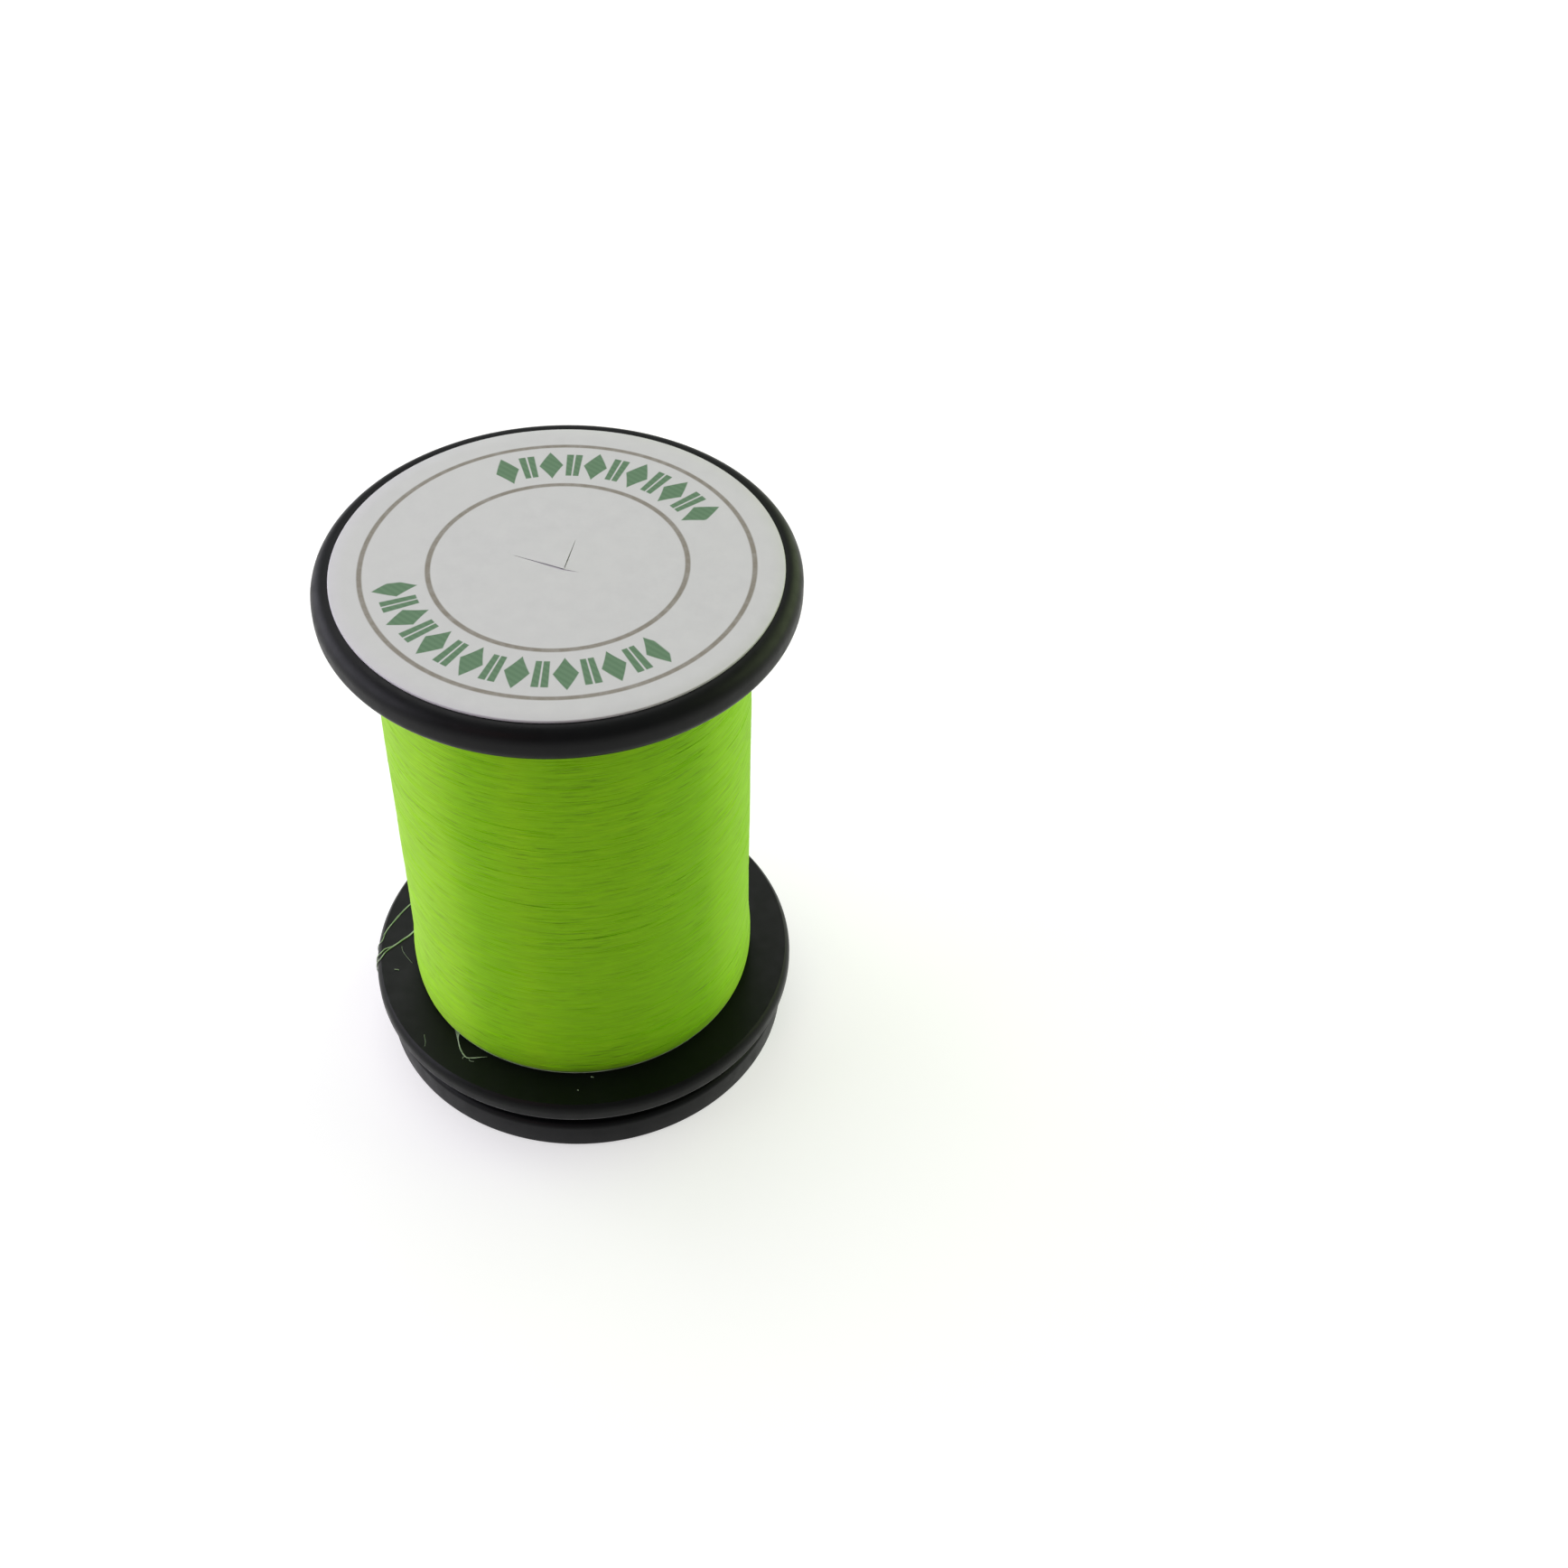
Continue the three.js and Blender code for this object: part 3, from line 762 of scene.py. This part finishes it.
def tube(line, radius, sides, taper=0.0):
    """Points and faces of a round tube along a line, closed at both ends."""
    line = np.asarray(line, float)
    along = np.gradient(line, axis=0)
    along /= np.linalg.norm(along, axis=1)[:, None]
    side = np.cross(along, (0, 0, 1.0))
    flat = np.linalg.norm(side, axis=1) < 1e-4
    side[flat] = (1, 0, 0)
    side /= np.linalg.norm(side, axis=1)[:, None]
    up = np.cross(side, along)
    n = len(line)
    size = np.full(n, float(radius))
    if taper:
        ramp = np.minimum(np.arange(n), np.arange(n)[::-1]) / (n - 1)
        size *= np.clip(ramp / taper, 0.25, 1)
    points, faces = [], []
    for i in range(n):
        for s in range(sides):
            a = TAU * s / sides
            points.append(line[i] + size[i] * (math.cos(a) * side[i] + math.sin(a) * up[i]))
    for i in range(n - 1):
        for s in range(sides):
            t = (s + 1) % sides
            faces.append((
                i * sides + s, i * sides + t, (i + 1) * sides + t, (i + 1) * sides + s,
            ))
    faces.append(tuple(range(sides))[::-1])
    faces.append(tuple((n - 1) * sides + s for s in range(sides)))
    return points, faces


def merged(name, parts):
    """One object from several sets of points and faces."""
    points, faces = [], []
    for part_points, part_faces in parts:
        offset = len(points)
        points.extend(part_points)
        faces.extend(tuple(i + offset for i in f) for f in part_faces)
    return mesh_object(name, points, faces, smooth_angle=60)


def crossing_strands():
    """Strands that cross the turns at a slight angle, each over part of the way round."""
    parts = []
    for _ in range(CROSSINGS):
        start = RNG.uniform(0, TAU)
        reach = RNG.uniform(0.35, 1.5)
        foot = RNG.uniform(WIND_BOTTOM + 0.5, WIND_TOP - 0.5)
        rise = RNG.normal(0, 0.35) * reach
        t = np.linspace(0, 1, max(12, int(reach * 22)))
        angle = start + reach * t
        height = foot + rise * t + 0.04 * np.sin(t * RNG.uniform(3, 9) + RNG.uniform(0, 6))
        height = np.clip(height, WIND_BOTTOM + 0.05, WIND_TOP - 0.05)
        sunk = np.minimum(t, 1 - t) * reach
        radius = envelope(height) + 0.006 - 0.06 * np.exp(-sunk / 0.12)
        line = np.stack([radius * np.cos(angle), radius * np.sin(angle), height], -1)
        parts.append(tube(line, RNG.uniform(0.010, 0.017), 5, taper=0.12))
    return merged("thread_crossings", parts)


piece(
    thread_winding(), "spool", "thread_floss", WINDING_FLOSS, "thread_core", "thread_outer_layer"
)
piece(crossing_strands(), "spool", "thread_floss", STRAND_FLOSS)

# ------------------------------------------------------------------ loose ends

TAIL_FILAMENT = 0.062
FINE_FILAMENT = 0.040
FINEST_FILAMENT = 0.026
LIE = FLANGE_TOP + 0.01  # height at which a thread rests on the base flange
RIM_GAP = 0.012  # between a thread and the rim that it goes over


def around(radius, degrees, height):
    a = math.radians(degrees)
    return np.array([radius * math.cos(a), radius * math.sin(a), height])


def on_flange(share, degrees, height):
    """A point on the base flange, at a share of the way out from the winding to the rim."""
    radius = WINDING + share * (FLANGE - WINDING)
    return around(radius, WINDING_START + degrees, height + face_rise(radius))


def in_groove(share, degrees, depth):
    """A point in the groove, at a share of the way out from the neck and of the way down."""
    radius = NECK + share * (FLANGE - NECK)
    height = FLANGE_UNDER - depth * (FLANGE_UNDER - BASE_TOP)
    return around(radius, WINDING_START + degrees, height)


def over_rim(diameter, degrees):
    """Points of a thread that hugs the rim from the face of the base flange to its underside."""
    gap = diameter / 2 + RIM_GAP
    points = []
    for edge, height, tilts in (
        (CROWN, crown_height(), (CROWN_TILT, CROWN_TILT / 2, 0)),
        (FLANGE_EDGE, FLANGE_UNDER + FLANGE_EDGE, (0, -45, -90)),
    ):
        for tilt in tilts:
            a = math.radians(tilt)
            along = WINDING_START + degrees + (90 - tilt) / 180
            radius = FLANGE - edge + (edge + gap) * math.cos(a)
            points.append(around(radius, along, height + (edge + gap) * math.sin(a)))
    return points


def smooth_line(route, steps):
    """A centripetal Catmull-Rom curve through a route's points, with even steps."""
    p = [np.asarray(q, float) for q in route]
    p = [2 * p[0] - p[1]] + p + [2 * p[-1] - p[-2]]
    out = []
    for i in range(1, len(p) - 2):
        p0, p1, p2, p3 = p[i - 1:i + 3]
        t0 = 0.0
        t1 = t0 + np.linalg.norm(p1 - p0) ** 0.5
        t2 = t1 + np.linalg.norm(p2 - p1) ** 0.5
        t3 = t2 + np.linalg.norm(p3 - p2) ** 0.5
        for t in np.linspace(t1, t2, 12, endpoint=False):
            a1 = (t1 - t) / (t1 - t0) * p0 + (t - t0) / (t1 - t0) * p1
            a2 = (t2 - t) / (t2 - t1) * p1 + (t - t1) / (t2 - t1) * p2
            a3 = (t3 - t) / (t3 - t2) * p2 + (t - t2) / (t3 - t2) * p3
            b1 = (t2 - t) / (t2 - t0) * a1 + (t - t0) / (t2 - t0) * a2
            b2 = (t3 - t) / (t3 - t1) * a2 + (t - t1) / (t3 - t1) * a3
            out.append((t2 - t) / (t2 - t1) * b1 + (t - t1) / (t2 - t1) * b2)
    out.append(p[-2])
    out = np.array(out)
    gone = np.r_[0, np.cumsum(np.linalg.norm(np.diff(out, axis=0), axis=1))]
    even = np.linspace(0, gone[-1], steps)
    return np.stack([np.interp(even, gone, out[:, c]) for c in range(3)], -1)


def filament(route, thickness, steps):
    return tube(smooth_line(route, steps), thickness / 2, 8)


def thread_tail():
    """The free end: two filaments side by side, which part at the rim and meet at the neck."""
    lie = LIE + TAIL_FILAMENT / 2
    leave = around(WINDING - 0.25, WINDING_START, LIE + 0.25)
    onward = around(1, WINDING_START + 90, 0)
    parts = []
    for side, rim in ((-1, 34.0), (1, 36.0)):
        start = leave + onward * (0.53 + 0.03 * side)
        start[2] += 0.055 * side
        route = [
            start,
            start + onward * 0.48,
            on_flange(0.05, 12, lie + 0.06 + 0.04 * side),
            on_flange(0.08, 19, lie + 0.03 + 0.03 * side),
            on_flange(0.21 - 0.008 * side, 25.6, lie),
            on_flange(0.43 - 0.010 * side, 29.2, lie),
            on_flange(0.63 - 0.012 * side, 31.8, lie),
            on_flange(0.80 - 0.012 * side, 32.8 + 0.55 * (side + 1), lie),
            *over_rim(TAIL_FILAMENT, rim),
            in_groove(0.75, rim + 4, 0.30 + 0.1 * side),
            in_groove(0.55, rim + 16, 0.40 + 0.1 * side),
            in_groove(0.32, 68, 0.45 + 0.08 * side),
            in_groove(0.14, 95, 0.50 + 0.08 * side),
            in_groove(0.07, 125, 0.52 + 0.07 * side),
        ]
        parts.append(filament(route, TAIL_FILAMENT, 170))
    return merged("thread_tail_pair", parts)


def thread_strand():
    """A fine strand that takes its own way over the rim, and a finer one that ends at the rim."""
    lie = LIE + FINE_FILAMENT / 2
    route = [
        on_flange(0.06, -9, lie + 0.28), on_flange(0.07, -3, lie + 0.14),
        on_flange(0.14, 3, lie + 0.07), on_flange(0.31, 8.5, lie), on_flange(0.44, 12.4, lie),
        on_flange(0.55, 16.0, lie), on_flange(0.68, 20.8, lie), on_flange(0.84, 26.2, lie),
        *over_rim(FINE_FILAMENT, 29.6),
        in_groove(0.73, 35, 0.25), in_groove(0.48, 43, 0.45), in_groove(0.2, 58, 0.6),
        in_groove(0.06, 78, 0.72),
    ]
    second = [
        on_flange(0.05, -6, lie + 0.20), on_flange(0.11, 1.6, lie + 0.09),
        on_flange(0.29, 7.6, lie), on_flange(0.43, 11.6, lie), on_flange(0.54, 15.0, lie),
        on_flange(0.67, 19.6, lie), on_flange(0.82, 25.1, lie), on_flange(0.89, 27.6, lie),
    ]
    parts = [filament(route, FINE_FILAMENT, 120), filament(second, FINEST_FILAMENT, 60)]
    return merged("thread_strand_fine", parts)


def curl(points, thickness, steps):
    """A loose filament on the base flange, through points given as radius, angle and lift."""
    rest = thickness / 2 + 0.005
    route = [
        around(radius, degrees, FLANGE_TOP + face_rise(radius) + lift + rest)
        for radius, degrees, lift in points
    ]
    return filament(route, thickness, steps)


def foot_turn():
    """The lowest turn, which lies loose against the flange and catches the light."""
    steps = 220
    angle = np.radians(np.linspace(100, 455, steps))
    radius = WINDING - 0.065 + 0.010 * np.sin(3 * angle)
    height = np.full(steps, FLANGE_TOP + 0.05)
    line = np.stack([radius * np.cos(angle), radius * np.sin(angle), height], -1)
    return tube(line, 0.024, 6, taper=0.02)


def tuft_hair(n):
    """One of the seven hairs of the tuft that stands off the winding at the left."""
    spread = 0.5 * (n - 3)
    return curl([
        (8.86, -139.0 - 0.5 * n, 0.50 - 0.05 * n),
        (9.12 + 0.02 * n, -138.0 + 0.2 * spread, 0.26 - 0.03 * n),
        (9.44 + 0.02 * n, -135.0 + 0.2 * spread, 0.08),
        (9.64 + 0.02 * (n % 3), -131.8 - 0.1 * spread, 0.0),
        (9.56 - 0.02 * n, -130.2 + 0.15 * spread, 0.0),
        (9.42 - 0.03 * n, -128.8 + 0.3 * spread, 0.02),
        (9.24 - 0.03 * n, -127.2 + 0.5 * spread, 0.04),
    ], 0.020 if n in (1, 4) else 0.012, 40)


# Stray filaments on the base flange: points as for curl, thickness, and steps.
STRAYS = [
    ([(9.64, -132.3, 0.0), (9.76, -132.6, 0.0), (9.86, -132.2, 0.01)], 0.02, 12),
    ([(9.62, -131.2, 0.0), (9.72, -130.0, 0.0), (9.66, -128.9, 0.02)], 0.014, 12),
    ([(10.22, -147.0, 0.04), (10.30, -146.2, 0.02), (10.42, -144.8, 0.0),
      (10.64, -143.5, 0.0)], 0.014, 20),
    ([(9.80, 176.4, 0.0), (9.76, 177.8, 0.02), (9.66, 179.4, 0.03), (9.43, -178.2, 0.02),
      (9.24, -176.4, 0.0)], 0.013, 24),
    ([(10.19, -174.3, 0.0), (10.06, -174.1, 0.01), (9.96, -173.9, 0.0)], 0.040, 10),
    ([(9.07, -91.0, 0.0), (9.10, -90.5, 0.01), (9.13, -90.1, 0.0)], 0.04, 10),
    ([(9.89, -95.1, 0.0), (9.92, -94.8, 0.0)], 0.035, 6),
    ([(10.3, 62.0, 0.0), (10.1, 64.5, 0.03), (9.7, 66.0, 0.02), (9.5, 64.8, 0.0)], 0.02, 24),
    ([(9.3, 118.0, 0.0), (9.5, 120.0, 0.02), (9.8, 120.8, 0.0)], 0.02, 16),
]


def thread_fuzz():
    """The tuft at the left, stray filaments on the flange, and the loose lowest turn."""
    hairs = [tuft_hair(n) for n in range(7)]
    strays = [curl(*stray) for stray in STRAYS]
    return merged("thread_fuzz", [*hairs, *strays, foot_turn()])


piece(thread_tail(), "spool", "thread_floss", PALE_FILAMENT, "thread_tail")
piece(thread_strand(), "spool", "thread_floss", PALE_FILAMENT, "thread_tail_strand")
piece(thread_fuzz(), "spool", "thread_floss", PALE_FILAMENT)

# ------------------------------------------------------------------ camera, light and floor

# The camera, from a fit to the outlines in the photo. Its place is in millimetres.
FOCAL_PX = 2286.49
FRAME_PX = 1736
SENSOR = 36.0
CAMERA_AT = (0.0, -72.892, 89.628)
IMAGE_RIGHT = (0.99246, -0.12025, 0.02364)
IMAGE_DOWN = (-0.06922, -0.70922, -0.70158)
FORWARD = (0.10113, 0.69466, -0.7122)

WHITE = (1, 1, 1)
SURROUND = 0.27  # even grey light from all round
LIGHT_CENTRE = 12  # height that the lamps face, in millimetres
FLOOR_COLOUR = (0.56, 0.545, 0.57, 1)
FLOOR_GLOW = 0.58  # lifts the lit floor to white where it is seen
FLOOR_HALF = 3000
FLOOR_DROP = 0.02


def add_camera():
    data = bpy.data.cameras.new("camera")
    data.sensor_width = SENSOR
    data.lens = SENSOR * FOCAL_PX / FRAME_PX
    data.clip_start = 0.005
    data.clip_end = 20
    camera = bpy.data.objects.new("camera", data)
    right, down, forward = (Vector(v).normalized() for v in (IMAGE_RIGHT, IMAGE_DOWN, FORWARD))
    matrix = Matrix((right, -down, -forward)).transposed().to_4x4()
    matrix.translation = Vector(CAMERA_AT) * MM
    camera.matrix_world = matrix
    bpy.context.scene.collection.objects.link(camera)
    bpy.context.scene.camera = camera


def add_world():
    world = bpy.data.worlds.new("studio")
    bpy.context.scene.world = world
    world.use_nodes = True
    back = world.node_tree.nodes["Background"]
    back.inputs["Color"].default_value = (*WHITE, 1)
    back.inputs["Strength"].default_value = SURROUND


def window(name, azimuth, elevation, distance, size, radiance, colour=WHITE):
    """A soft panel that faces the spool: angles in degrees, sizes in millimetres."""
    a, e = math.radians(azimuth), math.radians(elevation)
    target = Vector((0, 0, LIGHT_CENTRE))
    place = target + distance * Vector(
        (math.cos(e) * math.cos(a), math.cos(e) * math.sin(a), math.sin(e))
    )
    data = bpy.data.lights.new(name, "AREA")
    data.shape = "RECTANGLE"
    data.size, data.size_y = size[0] * MM, size[1] * MM
    data.energy = radiance * math.pi * data.size * data.size_y
    data.color = colour
    lamp = bpy.data.objects.new(name, data)
    lamp.location = place * MM
    lamp.rotation_euler = (target - place).to_track_quat("-Z", "Y").to_euler()
    bpy.context.scene.collection.objects.link(lamp)


def seen_switch(tree):
    """1 for rays that see the floor, also in gloss or glass, and 0 for those that carry light."""
    path = tree.nodes.new("ShaderNodeLightPath")
    seen = path.outputs["Is Camera Ray"]
    for ray in ("Is Glossy Ray", "Is Transmission Ray"):
        either = tree.nodes.new("ShaderNodeMath")
        either.operation = "MAXIMUM"
        tree.links.new(seen, either.inputs[0])
        tree.links.new(path.outputs[ray], either.inputs[1])
        seen = either.outputs[0]
    return seen


def add_floor():
    """A wide pale floor. Seen directly or mirrored it is close to white, and keeps its shadow."""
    h = FLOOR_HALF
    corners = [(-h, -h, 0), (h, -h, 0), (h, h, 0), (-h, h, 0)]
    obj = mesh_object("studio_floor", corners, [(0, 1, 2, 3)])
    obj.location.z = -FLOOR_DROP * MM
    material = bpy.data.materials.new("studio_floor")
    material.use_nodes = True
    tree = material.node_tree
    tree.nodes.clear()
    out = tree.nodes.new("ShaderNodeOutputMaterial")
    diffuse = tree.nodes.new("ShaderNodeBsdfDiffuse")
    diffuse.inputs["Color"].default_value = FLOOR_COLOUR
    glow = tree.nodes.new("ShaderNodeEmission")
    glow.inputs["Color"].default_value = (*WHITE, 1)
    strength = tree.nodes.new("ShaderNodeMath")
    strength.operation = "MULTIPLY"
    strength.inputs[1].default_value = FLOOR_GLOW
    both = tree.nodes.new("ShaderNodeAddShader")
    tree.links.new(seen_switch(tree), strength.inputs[0])
    tree.links.new(strength.outputs[0], glow.inputs["Strength"])
    tree.links.new(diffuse.outputs[0], both.inputs[0])
    tree.links.new(glow.outputs[0], both.inputs[1])
    tree.links.new(both.outputs[0], out.inputs["Surface"])
    obj.data.materials.append(material)


add_camera()
add_world()
window("back_wall", 106, 62, 360, (260, 260), 2.4)
window("left_window", 166, 20, 330, (440, 210), 2.8, (1, 0.98, 1.12))
window("right_window", 22, 22, 330, (400, 220), 2.5, (0.80, 1, 0.50))
window("pink_strip", -124, 32, 330, (9, 200), 6.5, (1, 0.30, 0.30))
add_floor()
bpy.context.scene.view_settings.view_transform = "Standard"
